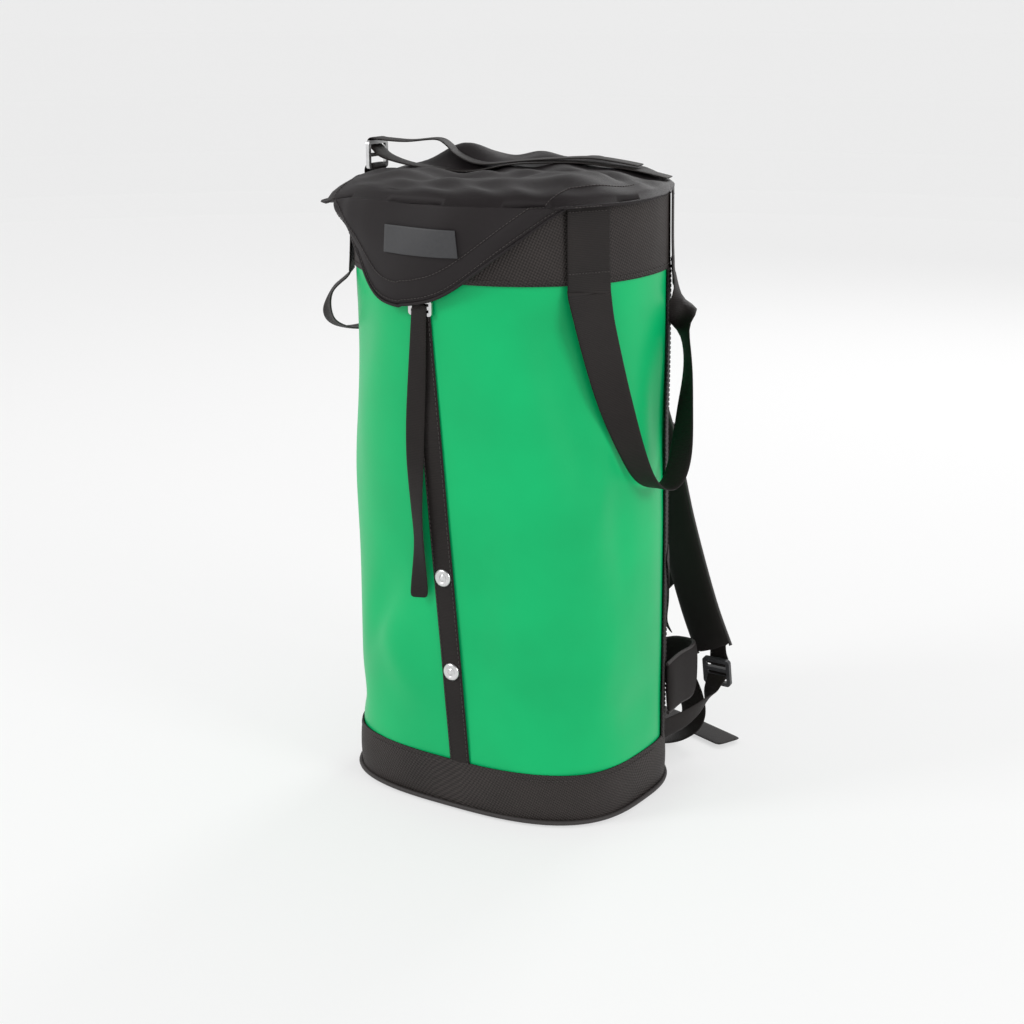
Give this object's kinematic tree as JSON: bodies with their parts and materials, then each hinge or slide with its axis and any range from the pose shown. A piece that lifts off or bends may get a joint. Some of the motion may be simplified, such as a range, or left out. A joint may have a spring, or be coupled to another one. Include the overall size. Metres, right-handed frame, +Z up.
{
  "type": "rope storage bag",
  "caption": "Upright haul-style rope bag: coated fabric tube on a nylon boot, lid with cinch strap, side haul loops and a padded carrying harness",
  "frame": {"origin": "centre of the bag's base, on the surface that it stands on", "axes": "+Z up the bag to its mouth, -Y out of the bag's front, +X to the side of the long haul loop; the harness is on +Y"},
  "size_m": [0.394, 0.4251, 0.6854],
  "materials": {
    "coated_fabric": "coated fabric, satin",
    "slot_blue": "coated fabric reverse, satin",
    "nylon_weave": "ballistic nylon, woven",
    "lid_nylon": "plain nylon, fine weave",
    "webbing": "flat woven webbing",
    "padding": "padded mesh and nylon",
    "rubber_badge": "moulded rubber, matte",
    "buckle_plastic": "moulded acetal",
    "bare_metal": "bright metal",
    "lining": "lining and stiffener"
  },
  "bodies": {
    "bag": {"back_panel": "lining", "back_tab_left": "webbing", "back_tab_right": "webbing", "bag_tube": "coated_fabric", "base_boot": "nylon_weave", "base_panel": "lining", "boot_binding": "nylon_weave", "collar": "nylon_weave", "cord_lock": "buckle_plastic", "drawcord": "webbing", "front_tail": "webbing", "front_webbing": "webbing", "haul_patches": "webbing", "hip_plug": "buckle_plastic", "hip_socket": "buckle_plastic", "hip_tail": "webbing", "hip_webbing": "webbing", "hip_wing_left": "padding", "hip_wing_right": "padding", "lifter_ring_left": "buckle_plastic", "lifter_ring_right": "buckle_plastic", "lower_strap_left": "webbing", "lower_strap_right": "webbing", "lumbar_pad": "padding", "ring_anchor": "webbing", "side_badge": "rubber_badge", "side_webbing_left": "webbing", "side_webbing_right": "webbing", "skirt": "lid_nylon", "slot_lip": "slot_blue", "stabilisers": "webbing", "stow_sleeve": "lining", "tail_buckle": "bare_metal", "webbing_rivets": "bare_metal"},
    "lid": {"lid_sheet": "lid_nylon", "lid_binding": "lid_nylon", "lid_badge": "rubber_badge", "lid_strap": "webbing", "lid_ring": "bare_metal"},
    "haul_loop_right": {"haul_loop_right": "webbing"},
    "haul_loop_left": {"haul_loop_left": "webbing"},
    "harness": {"shoulder_pad_left": "padding", "shoulder_pad_right": "padding", "shoulder_webbing_left": "webbing", "shoulder_webbing_right": "webbing", "ladder_lock_left": "buckle_plastic", "ladder_lock_right": "buckle_plastic", "sternum_webbing": "webbing", "sternum_socket": "buckle_plastic", "sternum_plug": "buckle_plastic", "lifter_tail": "webbing", "floor_tail": "webbing"},
    "triglide_left": {"triglide_left": "buckle_plastic"},
    "triglide_right": {"triglide_right": "buckle_plastic"},
    "cord_plunger": {"cord_lock_plunger": "buckle_plastic"},
    "prong_lower": {"hip_prong_lower": "buckle_plastic"},
    "prong_upper": {"hip_prong_upper": "buckle_plastic"}
  },
  "joints": [
    {"name": "lid_hinge", "type": "hinge", "parent": "bag", "child": "lid", "pos_m": [0, 0.161, 0.654], "axis": [-1, 0, 0], "range_deg": [0, 115]},
    {"name": "haul_loop_right_swing", "type": "hinge", "parent": "bag", "child": "haul_loop_right", "pos_m": [0.1655, 0, 0.558], "axis": [0, -1, 0], "range_deg": [0, 120]},
    {"name": "haul_loop_left_swing", "type": "hinge", "parent": "bag", "child": "haul_loop_left", "pos_m": [-0.1655, 0, 0.558], "axis": [0, 1, 0], "range_deg": [0, 120]},
    {"name": "harness_swing", "type": "hinge", "parent": "bag", "child": "harness", "pos_m": [0, 0.152, 0.486], "axis": [1, 0, 0], "range_deg": [0, 15]},
    {"name": "triglide_left_slide", "type": "slide", "parent": "harness", "child": "triglide_left", "axis": [0, 0, 1], "range_m": [-0.008, 0.008]},
    {"name": "triglide_right_slide", "type": "slide", "parent": "harness", "child": "triglide_right", "axis": [-0.2501, 0, 0.9682], "range_m": [-0.008, 0.008]},
    {"name": "cord_lock_press", "type": "slide", "parent": "bag", "child": "cord_plunger", "axis": [0, 0, -1], "range_m": [0, 0.004], "stiffness_N_per_m": 400},
    {"name": "buckle_press_upper", "type": "slide", "parent": "bag", "child": "prong_upper", "axis": [0, 0, -1], "range_m": [0, 0.0035], "stiffness_N_per_m": 800},
    {"name": "buckle_press_lower", "type": "slide", "parent": "bag", "child": "prong_lower", "axis": [0, 0, 1], "range_m": [0, 0.0035], "stiffness_N_per_m": 800}
  ],
  "couplings": [
    {"joint": "buckle_press_lower", "follows": "buckle_press_upper", "ratio": 1}
  ]
}
